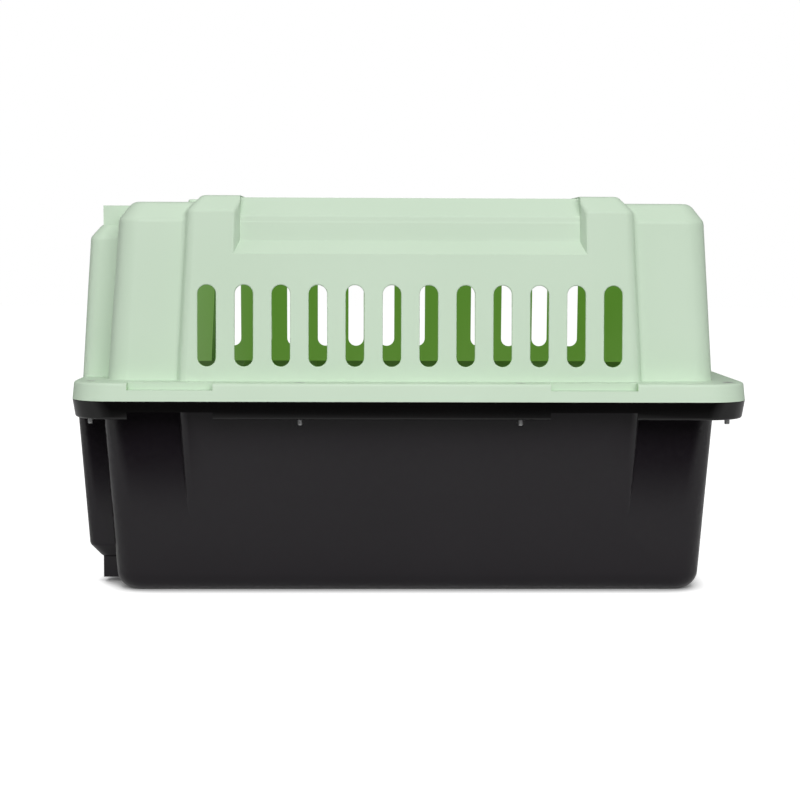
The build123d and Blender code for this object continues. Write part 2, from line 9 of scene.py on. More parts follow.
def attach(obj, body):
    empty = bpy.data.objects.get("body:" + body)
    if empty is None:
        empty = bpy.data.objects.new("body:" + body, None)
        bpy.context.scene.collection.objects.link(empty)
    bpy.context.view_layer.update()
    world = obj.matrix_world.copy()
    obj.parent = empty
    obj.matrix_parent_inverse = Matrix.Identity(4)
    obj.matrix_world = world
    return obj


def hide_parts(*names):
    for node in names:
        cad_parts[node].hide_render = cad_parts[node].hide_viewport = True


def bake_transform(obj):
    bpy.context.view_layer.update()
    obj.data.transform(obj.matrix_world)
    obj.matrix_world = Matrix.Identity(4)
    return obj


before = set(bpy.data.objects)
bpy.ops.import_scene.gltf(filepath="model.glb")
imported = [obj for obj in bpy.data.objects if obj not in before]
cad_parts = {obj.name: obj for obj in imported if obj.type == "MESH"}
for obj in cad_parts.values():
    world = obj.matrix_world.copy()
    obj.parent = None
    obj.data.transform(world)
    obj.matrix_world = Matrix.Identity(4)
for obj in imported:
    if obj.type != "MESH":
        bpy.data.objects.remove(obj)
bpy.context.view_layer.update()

# Pet carrier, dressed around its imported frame. Lengths are in metres, the door end is at -X,
# the slotted side that faces the camera is at -Y, and the floor is z = 0.
MM = 0.001
scene = bpy.context.scene

# Camera, found from the photograph's vanishing lines
CAMERA_SPOT = Vector((-0.035, -1.428, 0.2535))
CAMERA_PITCH = 4.9
CAMERA_YAW = 1.23
CAMERA_ROLL = 0.22
CAMERA_LENS = 80.8
SENSOR_WIDTH = 36.0

# Studio: floor size, the world's level for all but the camera, and each lamp as spot, target, size and power
FLOOR_HALF = 6.0
WORLD_LEVEL = 0.24
LAMPS = {
    "front_softbox": ((0.25, -2.3, 1.35), (0.0, 0.0, 0.12), (2.6, 1.2), 54.0),
    "overhead_softbox": ((0.0, 0.1, 2.0), (0.0, 0.0, 0.1), (2.0, 1.6), 6.0),
    "left_softbox": ((-2.2, -0.7, 0.9), (0.0, 0.0, 0.12), (1.2, 1.2), 5.0),
}

# Rim: heights, and the centres and radius of its corners
SPLIT_Z = 0.1433
RIM_TOP_Z = 0.1562
RIM_BAND_LOW_Z = 0.129
RIM_CORNER_SPOT = (0.2136, 0.130)
RIM_CORNER = 0.030
PLATE_LOW_Z = 0.1408

# Rim screws, four on each side
SCREW_ROW = ((0.079, 0.1486), (0.230, 0.137))
SCREW_SPOTS = [(end * x, side * y) for side in (-1, 1) for end in (-1, 1) for x, y in SCREW_ROW]
SCREW_TIP_Z = 0.1257

# Outer walls of the upper shell, as sizes at rising heights
PLATE_TOP_Z = 0.1537
END_Z = (PLATE_TOP_Z, 0.272, 0.285)
BACK_END_X = (0.2224, 0.2153, 0.206)
DOOR_END_X = (0.2202, 0.2118, 0.2025)
END_Y = (0.1313, 0.1248, 0.113)
CENTRE_Z = (PLATE_TOP_Z, 0.2788, 0.2897)
CENTRE_Y = (0.1393, 0.1322, 0.1215)
MIDDLE_Z = (0.2574, 0.2755, 0.2884)
MIDDLE_Y = (0.1254, 0.1244, 0.1119)

# Cabin behind those walls: how far each stretch reaches along X, and the handle well that dips into it
SKIN = 0.0012
END_REACH_X = 0.2135
END_CORNER = 0.0148
CENTRE_REACH_X = 0.160
CENTRE_REACH_Z = 0.247
RECESS_REACH_X = 0.123
SHOULDER_X = (0.129, 0.150)
WELL_REACH = (0.1005, 0.0515)
WELL_LOW_Z = 0.2683
HOLLOW_REACH = (0.2424, 0.1588)
HOLLOW_CORNER = 0.0285
HOLLOW_TOP_Z = 0.1545

# How strongly the painted glow of daylight through the wall shows: in the cabin, and in the hollow of the
# rim
CABIN_GLOW = 1.0
HOLLOW_GLOW = 0.28

# Door, latch and handle
HINGE_X = -0.219
LATCH_Y = 0.0765
UPRIGHT_COUNT = 7
UPRIGHT_PITCH = 0.018
UPRIGHT_RADIUS = 0.0015
FRAME_Z = (0.041, 0.248)
SPRING_LOW_ENDS = (("upper", 1, 0.146), ("lower", -1, 0.136))
PIVOT_Z = 0.2812
HANDLE_HALF = 0.094
HANDLE_ARM = 0.010
HANDLE_THICK = 0.012
GRIP_Y = 0.039
GRIP_WIDTH = 0.014
GRIP_BEND = 0.0095
FINGER_PITCH = 0.026
FINGER_DEPTH = 0.0013


# Small helpers

def link(obj):
    scene.collection.objects.link(obj)
    return obj


def mesh_object(name, bm):
    mesh = bpy.data.meshes.new(name)
    bm.to_mesh(mesh)
    bm.free()
    return link(bpy.data.objects.new(name, mesh))


def mark_sharp(bm, degrees):
    limit = math.radians(degrees)
    for face in bm.faces:
        face.smooth = True
    for edge in bm.edges:
        if len(edge.link_faces) == 2:
            edge.smooth = edge.calc_face_angle(0.0) < limit


def even_normals(obj):
    modifier = obj.modifiers.new("even_normals", "WEIGHTED_NORMAL")
    modifier.keep_sharp = True
    modifier.weight = 100


# Materials

class Finish:
    """A material whose nodes are added by short calls."""

    def __init__(self, name):
        self.material = bpy.data.materials.new(name)
        self.material.use_nodes = True
        self.tree = self.material.node_tree
        self.shader = self.tree.nodes["Principled BSDF"]
        self.where = self.tree.nodes.new("ShaderNodeTexCoord").outputs["Object"]

    def join(self, source, target):
        self.tree.links.new(source, target)

    def noise(self, scale, detail=2.0, roughness=0.5):
        node = self.tree.nodes.new("ShaderNodeTexNoise")
        node.inputs["Scale"].default_value = scale
        node.inputs["Detail"].default_value = detail
        node.inputs["Roughness"].default_value = roughness
        self.join(self.where, node.inputs["Vector"])
        return node.outputs["Fac"]

    def spread(self, value, low, high, from_low=0.3, from_high=0.7):
        node = self.tree.nodes.new("ShaderNodeMapRange")
        node.inputs["From Min"].default_value = from_low
        node.inputs["From Max"].default_value = from_high
        node.inputs["To Min"].default_value = low
        node.inputs["To Max"].default_value = high
        self.join(value, node.inputs["Value"])
        return node.outputs["Result"]

    def along(self, axis):
        node = self.tree.nodes.new("ShaderNodeSeparateXYZ")
        self.join(self.where, node.inputs[0])
        return node.outputs[axis]

    def mix(self, factor, first, second):
        node = self.tree.nodes.new("ShaderNodeMix")
        node.data_type = "RGBA"
        self.join(factor, node.inputs[0])
        for source, socket in ((first, node.inputs[6]), (second, node.inputs[7])):
            if isinstance(source, tuple):
                socket.default_value = (*source, 1.0)
            else:
                self.join(source, socket)
        return node.outputs[2]

    def clouded(self, scale, first, second):
        """Two near tones, blended by a slow noise."""
        return self.mix(self.spread(self.noise(scale), 0.0, 1.0), first, second)

    def blend_values(self, factor, first, second):
        node = self.tree.nodes.new("ShaderNodeMix")
        self.join(factor, node.inputs[0])
        for source, socket in ((first, node.inputs[2]), (second, node.inputs[3])):
            if isinstance(source, float):
                socket.default_value = source
            else:
                self.join(source, socket)
        return node.outputs[0]

    def attribute(self, name):
        node = self.tree.nodes.new("ShaderNodeAttribute")
        node.attribute_name = name
        return node.outputs["Fac"]

    def bump(self, height, distance, strength=1.0):
        node = self.tree.nodes.new("ShaderNodeBump")
        node.inputs["Distance"].default_value = distance
        node.inputs["Strength"].default_value = strength
        self.join(height, node.inputs["Height"])
        self.join(node.outputs["Normal"], self.shader.inputs["Normal"])

    def drive(self, value, socket):
        self.join(value, self.shader.inputs[socket])

    def hold(self, socket, value):
        self.shader.inputs[socket].default_value = value


def mint_plastic():
    """Satin polypropylene, pale outside. Faces that look into the cabin get a painted deep green and a
    painted green glow of daylight that has crossed the cabin wall; the glow is paler and brighter towards
    the door end.
    """
    finish = Finish("mint_plastic")
    pale = finish.clouded(9.0, (0.575, 0.712, 0.560), (0.595, 0.730, 0.580))
    # Painted light: this deep green and the emission below stand in for daylight that has crossed the wall,
    # seen from inside.
    painted_daylight_green = finish.clouded(7.0, (0.200, 0.360, 0.120), (0.230, 0.390, 0.140))
    # Painted glow mask: full on faces that look into the cabin, weaker in the rim's hollow. It blends in the
    # painted deep green and sets the emission strength.
    painted_glow = finish.attribute("painted_glow")
    finish.drive(finish.mix(painted_glow, pale, painted_daylight_green), "Base Color")
    finish.drive(finish.spread(finish.noise(420.0, 3.0), 0.40, 0.50), "Roughness")
    finish.hold("IOR", 1.45)
    finish.hold("Specular IOR Level", 0.35)
    # Colour of the painted glow, paler and brighter towards the door end.
    glow = finish.clouded(5.0, (0.065, 0.158, 0.018), (0.085, 0.185, 0.030))
    near_door = finish.spread(finish.along("X"), 1.0, 0.0, -0.205, -0.120)
    finish.drive(finish.mix(near_door, glow, (0.150, 0.245, 0.095)), "Emission Color")
    finish.drive(painted_glow, "Emission Strength")
    finish.bump(finish.noise(1500.0, 2.0), 0.04 * MM, 0.35)
    return finish.material


def black_plastic():
    """Black polypropylene: fine spark-eroded grain on the walls, polished on the rim."""
    finish = Finish("black_plastic")
    polished = finish.attribute("polished")
    grain = finish.clouded(11.0, (0.0058, 0.0040, 0.0062), (0.0072, 0.0052, 0.0076))
    smooth = finish.clouded(11.0, (0.0022, 0.0021, 0.0021), (0.0030, 0.0028, 0.0028))
    finish.drive(finish.mix(polished, grain, smooth), "Base Color")
    rough = finish.spread(finish.noise(300.0, 4.0), 0.15, 0.20)
    finish.drive(finish.blend_values(polished, rough, 0.09), "Roughness")
    finish.hold("IOR", 1.47)
    finish.bump(finish.noise(1900.0, 2.0), 0.02 * MM, 0.12)
    return finish.material


def handle_plastic():
    finish = Finish("handle_plastic")
    finish.drive(finish.clouded(30.0, (0.013, 0.012, 0.013), (0.017, 0.016, 0.017)), "Base Color")
    finish.drive(finish.spread(finish.noise(500.0, 3.0), 0.42, 0.54), "Roughness")
    finish.bump(finish.noise(1700.0, 2.0), 0.05 * MM, 0.5)
    return finish.material


def latch_plastic():
    finish = Finish("latch_plastic")
    finish.drive(finish.clouded(60.0, (0.012, 0.012, 0.013), (0.017, 0.017, 0.018)), "Base Color")
    finish.drive(finish.spread(finish.noise(900.0), 0.34, 0.46), "Roughness")
    finish.bump(finish.noise(3000.0), 0.03 * MM, 0.4)
    return finish.material


def plated_wire():
    """Bright nickel plate over drawn wire."""
    finish = Finish("plated_wire")
    finish.drive(finish.clouded(140.0, (0.60, 0.61, 0.62), (0.72, 0.72, 0.73)), "Base Color")
    finish.hold("Metallic", 1.0)
    finish.drive(finish.spread(finish.noise(600.0, 3.0), 0.14, 0.28), "Roughness")
    finish.bump(finish.noise(1100.0, 2.0), 0.02 * MM, 0.3)
    return finish.material


def zinc_steel():
    """Zinc plated steel, with the faint bloom of the plating."""
    finish = Finish("zinc_steel")
    finish.drive(finish.clouded(700.0, (0.44, 0.45, 0.46), (0.58, 0.58, 0.57)), "Base Color")
    finish.hold("Metallic", 1.0)
    finish.drive(finish.spread(finish.noise(1500.0, 3.0), 0.28, 0.45), "Roughness")
    finish.bump(finish.noise(2500.0), 0.02 * MM, 0.4)
    return finish.material


def floor_paint():
    """White table top, dark beyond its front edge except to the camera, to which it glows white. Close to
    the carrier that glow is dimmed by ambient occlusion into a painted contact shadow.
    """
    finish = Finish("floor_paint")
    rays = finish.tree.nodes.new("ShaderNodeLightPath").outputs["Is Camera Ray"]
    tone = finish.clouded(1.5, (0.74, 0.74, 0.74), (0.78, 0.78, 0.78))
    table = finish.spread(finish.along("Y"), 0.0, 1.0, -0.52, -0.36)
    thrown = finish.mix(table, (0.02, 0.02, 0.02), tone)
    finish.drive(finish.mix(rays, thrown, (0.85, 0.85, 0.85)), "Base Color")
    finish.hold("Roughness", 0.8)
    finish.hold("Specular IOR Level", 0.0)
    finish.hold("Emission Color", (1.0, 1.0, 1.0, 1.0))
    # Painted contact shadow: ambient occlusion dims the camera's white glow next to the carrier.
    near = finish.tree.nodes.new("ShaderNodeAmbientOcclusion")
    near.inputs["Distance"].default_value = 0.022
    camera_glow_with_painted_shadow = finish.tree.nodes.new("ShaderNodeMath")
    camera_glow_with_painted_shadow.operation = "MULTIPLY"
    finish.join(rays, camera_glow_with_painted_shadow.inputs[0])
    finish.join(finish.spread(near.outputs["AO"], 0.05, 0.82, 0.35, 0.90), camera_glow_with_painted_shadow.inputs[1])
    finish.drive(camera_glow_with_painted_shadow.outputs[0], "Emission Strength")
    return finish.material


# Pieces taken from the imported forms: welded, evenly shaded

def welded(*nodes):
    bm = bmesh.new()
    for node in nodes:
        bm.from_mesh(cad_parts[node].data)
    bmesh.ops.remove_doubles(bm, verts=bm.verts, dist=0.004 * MM)
    return bm


def face_values(obj, name, values):
    layer = obj.data.attributes.new(name, "FLOAT", "FACE")
    layer.data.foreach_set("value", values.astype(np.float32))


def face_table(obj):
    """Centres and normals of all faces."""
    count = len(obj.data.polygons)
    centres = np.empty(count * 3)
    normals = np.empty(count * 3)
    obj.data.polygons.foreach_get("center", centres)
    obj.data.polygons.foreach_get("normal", normals)
    return centres.reshape(-1, 3), normals.reshape(-1, 3)


def dressed(nodes, name, body, material, sharp=28.0):
    """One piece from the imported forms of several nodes, with smooth rounds and crisp corners."""
    bm = welded(*nodes)
    mark_sharp(bm, sharp)
    piece = mesh_object(name, bm)
    finish_piece(piece, nodes, body, material)
    even_normals(piece)


def coat(piece, material):
    piece.data.materials.clear()
    piece.data.materials.append(material)


def finish_piece(piece, nodes, body, material):
    coat(piece, material)
    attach(piece, body)
    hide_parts(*nodes)


def within(x, y, half_x, half_y, corner):
    """True where a point lies within a rounded rectangle about the origin."""
    past_x = x - (half_x - corner)
    past_y = y - (half_y - corner)
    rounded = np.hypot(np.maximum(past_x, 0.0), np.maximum(past_y, 0.0)) < corner
    return rounded & (x < half_x) & (y < half_y)


def cabin_faces(centres, normals):
    """How much painted glow each face gets: full where it looks into the cabin, weaker in the rim's hollow,
    judged from a point just off the face.
    """
    x, y, z = (centres + normals * SKIN / 2).T
    end_x = np.where(x > 0, np.interp(z, END_Z, BACK_END_X), np.interp(z, END_Z, DOOR_END_X)) - SKIN
    x, y = np.abs(x), np.abs(y)
    end_y = np.interp(z, END_Z, END_Y) - SKIN
    centre_y = np.interp(z, CENTRE_Z, CENTRE_Y) - SKIN
    middle_y = np.interp(z, MIDDLE_Z, MIDDLE_Y) - 1.5 * SKIN
    ends = within(x, y, np.minimum(end_x, END_REACH_X), end_y, END_CORNER) & (z < END_Z[-1] - SKIN)
    centre = (y < centre_y) & (x < CENTRE_REACH_X) & (z < CENTRE_REACH_Z)
    middle = (y < middle_y) & (x < RECESS_REACH_X) & (z < MIDDLE_Z[-1] - SKIN)
    shoulder = (y < centre_y) & (x > SHOULDER_X[0]) & (x < SHOULDER_X[1]) & (z < CENTRE_Z[-1] - SKIN)
    well = (x < WELL_REACH[0]) & (y < WELL_REACH[1]) & (z > WELL_LOW_Z)
    cabin = (ends | centre | middle | shoulder) & ~well
    return np.where(cabin, CABIN_GLOW, np.where(in_rim_hollow(centres, normals), HOLLOW_GLOW, 0.0))


def in_rim_hollow(centres, normals):
    """True for faces on the inner side of the rim, which get a weaker painted glow."""
    x, y, z = np.abs(centres + normals * SKIN / 2).T
    inner = (z < HOLLOW_TOP_Z) & within(x, y, *HOLLOW_REACH, HOLLOW_CORNER)
    upward = normals[:, 2] > 0.2
    outward = normals[:, 1] * np.sign(centres[:, 1]) > 0.3
    return inner & ~upward & ~outward


def from_rim_core(x, y):
    """How far a point lies outside the box whose corners are the centres of the rim's corners."""
    past_x = np.maximum(np.abs(x) - RIM_CORNER_SPOT[0], 0.0)
    past_y = np.maximum(np.abs(y) - RIM_CORNER_SPOT[1], 0.0)
    return np.hypot(past_x, past_y)


def soften_parting(bm):
    """A fine round on the outer edge where the shells meet, so that a hairline of light shows."""
    near, reach = 0.02 * MM, RIM_CORNER - 0.2 * MM
    edges = []
    for edge in bm.edges:
        low, high = (vert.co for vert in edge.verts)
        level = abs(low.z - SPLIT_Z) < near and abs(high.z - SPLIT_Z) < near
        if not level or len(edge.link_faces) != 2 or edge.calc_face_angle(0.0) < 1.2:
            continue
        middle = (low + high) / 2
        if from_rim_core(middle.x, middle.y) > reach:
            edges.append(edge)
    if edges:
        bmesh.ops.bevel(
            bm, geom=edges, offset=0.35 * MM, segments=2, profile=0.5, affect="EDGES", clamp_overlap=True
        )


def upper_shell(material):
    bm = welded("top_shell")
    soften_parting(bm)
    mark_sharp(bm, 28.0)
    shell = mesh_object("upper_shell", bm)
    # Painted glow mask: faces inside the cabin, and more weakly the rim's hollow, get the painted deep green
    # colour and emission.
    face_values(shell, "painted_glow", cabin_faces(*face_table(shell)))
    finish_piece(shell, ["top_shell"], "carrier", material)
    even_normals(shell)


def lower_shell(material):
    bm = welded("bottom_shell")
    soften_parting(bm)
    mark_sharp(bm, 28.0)
    shell = mesh_object("lower_shell", bm)
    x, y, z = face_table(shell)[0].T
    on_band = (from_rim_core(x, y) > RIM_CORNER - 3.5 * MM) & (z > RIM_BAND_LOW_Z)
    face_values(shell, "polished", on_band.astype(float))
    finish_piece(shell, ["bottom_shell"], "carrier", material)
    even_normals(shell)


# Small hardware, one form repeated on points by a node tree

def join_rings(bm, lows, highs):
    """Bands of faces between pairs of rings that have the same number of corners."""
    for low, high in zip(lows, highs):
        for step in range(len(low)):
            after = (step + 1) % len(low)
            bm.faces.new((low[step], low[after], high[after], high[step]))


def lathe(bm, profile, segments):
    """Turns a profile of (radius, height) pairs about Z, closed at both ends."""
    rings = []
    for radius, height in profile:
        ring = []
        for step in range(segments):
            angle = 2 * math.pi * step / segments
            ring.append(bm.verts.new((radius * math.cos(angle), radius * math.sin(angle), height)))
        rings.append(ring)
    join_rings(bm, rings[:-1], rings[1:])
    bm.faces.new(rings[0][::-1])
    bm.faces.new(rings[-1])


def unit_mesh(name, bm, sharp=30.0):
    bmesh.ops.recalc_face_normals(bm, faces=bm.faces)
    mark_sharp(bm, sharp)
    mesh = bpy.data.meshes.new(name)
    bm.to_mesh(mesh)
    bm.free()
    return bpy.data.objects.new(name, mesh)


def threaded_profile(radius, depth, pitch, low, high):
    """Profile of a thread seen as fine ridges."""
    points = [(radius - 2 * depth, low), (radius - depth, low + pitch / 2)]
    height = low + pitch
    while height < high - pitch:
        points += [(radius, height), (radius - depth, height + pitch / 2)]
        height += pitch
    points.append((radius - depth, high))
    return points


def cross_outline(half_width, reach):
    """Corners of a cross, seen from above."""
    corners = []
    for turn in range(4):
        angle = turn * math.pi / 2
        for across, along in ((-half_width, reach), (half_width, reach), (half_width, half_width)):
            x = along * math.cos(angle) - across * math.sin(angle)
            y = along * math.sin(angle) + across * math.cos(angle)
            corners.append((x, y))
    return corners


def loop_edges(bm, ring):
    return [bm.edges.get((ring[step], ring[(step + 1) % len(ring)])) for step in range(len(ring))]


def screw_unit():
    """M4 screw: fine thread up to a flared head with a cross recess."""
    bm = bmesh.new()
    top = RIM_TOP_Z - 0.02 * MM
    shank, head, lid_radius = 2.0 * MM, 3.9 * MM, 2.4 * MM
    thread_depth, thread_pitch = 0.22 * MM, 0.7 * MM
    recess_depth, recess_taper = 1.23 * MM, 0.82
    profile = threaded_profile(shank, thread_depth, thread_pitch, SCREW_TIP_Z, RIM_TOP_Z - 2.2 * MM)
    profile.append((shank - 0.02 * MM, RIM_TOP_Z - 2.0 * MM))
    profile += [(head, top - 0.1 * MM), (head, top), (lid_radius, top)]
    lathe(bm, profile, 32)
    lid = max(bm.faces, key=lambda face: face.calc_center_median().z)
    cross = cross_outline(0.42 * MM, 2.1 * MM)
    outline = [bm.verts.new((x, y, top)) for x, y in cross]
    sunk = [bm.verts.new((x * recess_taper, y * recess_taper, top - recess_depth)) for x, y in cross]
    join_rings(bm, [outline], [sunk])
    bm.faces.new(sunk)
    rim = list(lid.verts)
    bm.faces.remove(lid)
    edges = loop_edges(bm, rim) + loop_edges(bm, outline)
    bmesh.ops.triangle_fill(bm, edges=edges, use_beauty=True)
    return unit_mesh("screw_unit", bm)


def nut_unit():
    """Washer and chamfered hexagon nut, as one form with a bore."""
    bm = bmesh.new()
    top = PLATE_LOW_Z
    bore, flats, washer = 2.02 * MM, 3.5 * MM, 4.5 * MM
    count = 36

    def ring(height, shape):
        made = []
        for step in range(count):
            angle = 2 * math.pi * step / count
            radius = shape(angle)
            made.append(bm.verts.new((radius * math.cos(angle), radius * math.sin(angle), height)))
        return made

    def hexagon(angle):
        part = (angle + math.pi / 6) % (math.pi / 3) - math.pi / 6
        return flats / math.cos(part)

    def clipped(angle):
        return min(hexagon(angle), flats * 1.04)

    seat, foot = top - 0.8 * MM, top - 4.0 * MM
    rings = [
        ring(top - 0.01 * MM, lambda angle: bore + 0.2 * MM),
        ring(top - 0.01 * MM, lambda angle: washer - 0.1 * MM),
        ring(top - 0.15 * MM, lambda angle: washer),
        ring(seat + 0.1 * MM, lambda angle: washer),
        ring(seat, lambda angle: washer - 0.1 * MM),
        ring(seat, clipped),
        ring(seat - 0.35 * MM, hexagon),
        ring(foot + 0.35 * MM, hexagon),
        ring(foot, clipped),
        ring(foot, lambda angle: bore + 0.25 * MM),
        ring(foot + 0.3 * MM, lambda angle: bore),
        ring(top - 0.3 * MM, lambda angle: bore),
    ]
    join_rings(bm, rings, rings[1:] + rings[:1])
    return unit_mesh("nut_unit", bm)


def repeat_tree(name):
    """Node tree that stands one unit on every point, each turned by its own small amount."""
    tree = bpy.data.node_groups.new(name, "GeometryNodeTree")
    sockets = (
        ("Places", "INPUT", "NodeSocketGeometry"),
        ("Unit", "INPUT", "NodeSocketObject"),
        ("Finish", "INPUT", "NodeSocketMaterial"),
        ("Turn", "INPUT", "NodeSocketFloat"),
        ("Seed", "INPUT", "NodeSocketInt"),
        ("Pieces", "OUTPUT", "NodeSocketGeometry"),
    )
    for label, way, kind in sockets:
        tree.interface.new_socket(label, in_out=way, socket_type=kind)
    add, join = tree.nodes.new, tree.links.new
    given, made = add("NodeGroupInput"), add("NodeGroupOutput")
    info = add("GeometryNodeObjectInfo")
    chance = add("FunctionNodeRandomValue")
    angles = add("ShaderNodeCombineXYZ")
    spread = add("GeometryNodeInstanceOnPoints")
    real = add("GeometryNodeRealizeInstances")
    paint = add("GeometryNodeSetMaterial")
    join(given.outputs["Unit"], info.inputs["Object"])
    join(given.outputs["Turn"], chance.inputs[3])
    join(given.outputs["Seed"], chance.inputs["Seed"])
    join(chance.outputs[1], angles.inputs["Z"])
    join(given.outputs["Places"], spread.inputs["Points"])
    join(info.outputs["Geometry"], spread.inputs["Instance"])
    join(angles.outputs["Vector"], spread.inputs["Rotation"])
    join(spread.outputs["Instances"], real.inputs["Geometry"])
    join(real.outputs["Geometry"], paint.inputs["Geometry"])
    join(given.outputs["Finish"], paint.inputs["Material"])
    join(paint.outputs["Geometry"], made.inputs["Pieces"])
    return tree


def repeated(name, tree, unit, places, material, turn=0.0, seed=3):
    """The unit on every place, as one plain mesh."""
    points = bpy.data.meshes.new(name + "_places")
    points.from_pydata(places, [], [])
    link(unit)
    piece = grown(name, tree, points, {"Unit": unit, "Finish": material, "Turn": turn, "Seed": seed})
    bpy.data.objects.remove(unit)
    return piece


def grown(name, tree, start, given):
    """What a node tree makes of a starting mesh, as one plain mesh."""
    holder = link(bpy.data.objects.new(name + "_holder", start))
    modifier = holder.modifiers.new("tree", "NODES")
    modifier.node_group = tree
    for item in tree.interface.items_tree:
        if item.item_type == "SOCKET" and item.in_out == "INPUT" and item.name in given:
            modifier[item.identifier] = given[item.name]
    bpy.context.view_layer.update()
    graph = bpy.context.evaluated_depsgraph_get()
    mesh = bpy.data.meshes.new_from_object(holder.evaluated_get(graph))
    mesh.name = name
    holder.modifiers.remove(modifier)
    bpy.data.objects.remove(holder)
    return link(bpy.data.objects.new(name, mesh))


def rim_hardware(tree, material):
    spots = [(x, y, 0.0) for x, y in SCREW_SPOTS]
    screws = repeated("rim_screw_set", tree, screw_unit(), spots, material, turn=1.5, seed=11)
    finish_piece(screws, ["rim_screws"], "carrier", material)
    nuts = repeated("rim_nut_set", tree, nut_unit(), spots, material, turn=1.0, seed=5)
    finish_piece(nuts, ["rim_nuts", "rim_washers"], "carrier", material)


def wire_unit(radius, low, high):
    """Upright wire with slightly domed, cut ends."""
    bm = bmesh.new()
    dome = 0.35 * MM
    profile = [(radius * 0.55, low), (radius * 0.9, low + dome * 0.4), (radius, low + dome)]
    profile += [(radius, high - dome), (radius * 0.9, high - dome * 0.4), (radius * 0.55, high)]
    lathe(bm, profile, 24)
    return unit_mesh("wire_unit", bm, 50.0)


def door_wires(tree, material):
    behind_ring = HINGE_X + 3.35 * MM
    first_y = -UPRIGHT_PITCH * (UPRIGHT_COUNT - 1) / 2 - 1.0 * MM
    places = [(behind_ring, first_y + index * UPRIGHT_PITCH, 0.0) for index in range(UPRIGHT_COUNT)]
    unit = wire_unit(UPRIGHT_RADIUS, FRAME_Z[0] - UPRIGHT_RADIUS, FRAME_Z[1] + UPRIGHT_RADIUS)
    uprights = repeated("door_upright_wires", tree, unit, places, material)
    finish_piece(uprights, ["door_uprights"], "door", material)
    dressed(["door_frame"], "door_ring", "door", material, 50.0)
    dressed(["door_crossbars"], "door_cross_wires", "door", material, 50.0)
    dressed(["hinge_rod"], "hinge_wire", "door", material, 40.0)
    dressed(["rod_guides"], "rod_guide_tubes", "door", material, 40.0)


def coil_tree():
    """Node tree for a compression spring."""
    tree = bpy.data.node_groups.new("coil_spring", "GeometryNodeTree")
    for label, kind in (
        ("Turns", "NodeSocketFloat"), ("Radius", "NodeSocketFloat"), ("Height", "NodeSocketFloat"),
        ("Wire", "NodeSocketFloat"), ("Base", "NodeSocketVector"), ("Finish", "NodeSocketMaterial"),
    ):
        tree.interface.new_socket(label, in_out="INPUT", socket_type=kind)
    tree.interface.new_socket("Spring", in_out="OUTPUT", socket_type="NodeSocketGeometry")
    add, join = tree.nodes.new, tree.links.new
    given, made = add("NodeGroupInput"), add("NodeGroupOutput")
    spiral, section = add("GeometryNodeCurveSpiral"), add("GeometryNodeCurvePrimitiveCircle")
    sweep, place = add("GeometryNodeCurveToMesh"), add("GeometryNodeTransform")
    paint = add("GeometryNodeSetMaterial")
    spiral.inputs["Resolution"].default_value = 28
    section.inputs["Resolution"].default_value = 8
    sweep.inputs["Fill Caps"].default_value = True
    join(given.outputs["Turns"], spiral.inputs["Rotations"])
    join(given.outputs["Radius"], spiral.inputs["Start Radius"])
    join(given.outputs["Radius"], spiral.inputs["End Radius"])
    join(given.outputs["Height"], spiral.inputs["Height"])
    join(given.outputs["Wire"], section.inputs["Radius"])
    join(spiral.outputs["Curve"], sweep.inputs["Curve"])
    join(section.outputs["Curve"], sweep.inputs["Profile Curve"])
    join(sweep.outputs["Mesh"], place.inputs["Geometry"])
    join(given.outputs["Base"], place.inputs["Translation"])
    join(place.outputs["Geometry"], paint.inputs["Geometry"])
    join(given.outputs["Finish"], paint.inputs["Material"])
    join(paint.outputs["Geometry"], made.inputs["Spring"])
    return tree


def latch_springs(material):
    """A coil spring at each latch, grown by a node tree in place of the imported spring; it is not attached
    to the door or to its latch.
    """
    tree = coil_tree()
    given = {"Turns": 6.0, "Radius": 1.9 * MM, "Height": 6.3 * MM, "Wire": 0.28 * MM, "Finish": material}
    for label, way, low_z in SPRING_LOW_ENDS:
        name = label + "_latch_spring"
        given["Base"] = (HINGE_X, LATCH_Y, low_z + 0.35 * MM)
        spring = grown(name + "_coil", tree, bpy.data.meshes.new(name), given)
        for face in spring.data.polygons:
            face.use_smooth = True
        coat(spring, material)
        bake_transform(spring)
        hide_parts(name)


def latch_pieces(plastic, steel, wire):
    dressed(["latch_front"], "latch_front_cover", "door", plastic, 30.0)
    dressed(["latch_back"], "latch_back_cover", "door", plastic, 30.0)
    dressed(["latch_case_screws"], "latch_cover_screws", "door", steel, 30.0)
    for body in ("upper_latch", "lower_latch"):
        dressed([body + "_slide"], body + "_thumb_slide", body, plastic, 30.0)
        dressed([body + "_rod"], body + "_wire", body, wire, 40.0)


# Carry handle: a swept grip with finger hollows on its inner side

def handle_path():
    """Centre line from one pivot eye to the other, with the outward direction at each point."""
    arm_x = HANDLE_HALF - HANDLE_ARM / 2
    bend = GRIP_BEND
    arm_count, bend_count, grip_count = 8, 8, 81
    points = []
    for y in np.linspace(0.0, GRIP_Y - bend, arm_count):
        points.append((-arm_x, y, -1.0, 0.0))
    for step in range(1, bend_count + 1):
        angle = math.pi / 2 * step / (bend_count + 1)
        x = -arm_x + bend - bend * math.cos(angle)
        y = GRIP_Y - bend + bend * math.sin(angle)
        points.append((x, y, -math.cos(angle), math.sin(angle)))
    first_side = list(points)
    for x in np.linspace(-arm_x + bend, arm_x - bend, grip_count):
        points.append((x, GRIP_Y, 0.0, 1.0))
    return points + [(-x, y, -out_x, out_y) for x, y, out_x, out_y in first_side[::-1]]


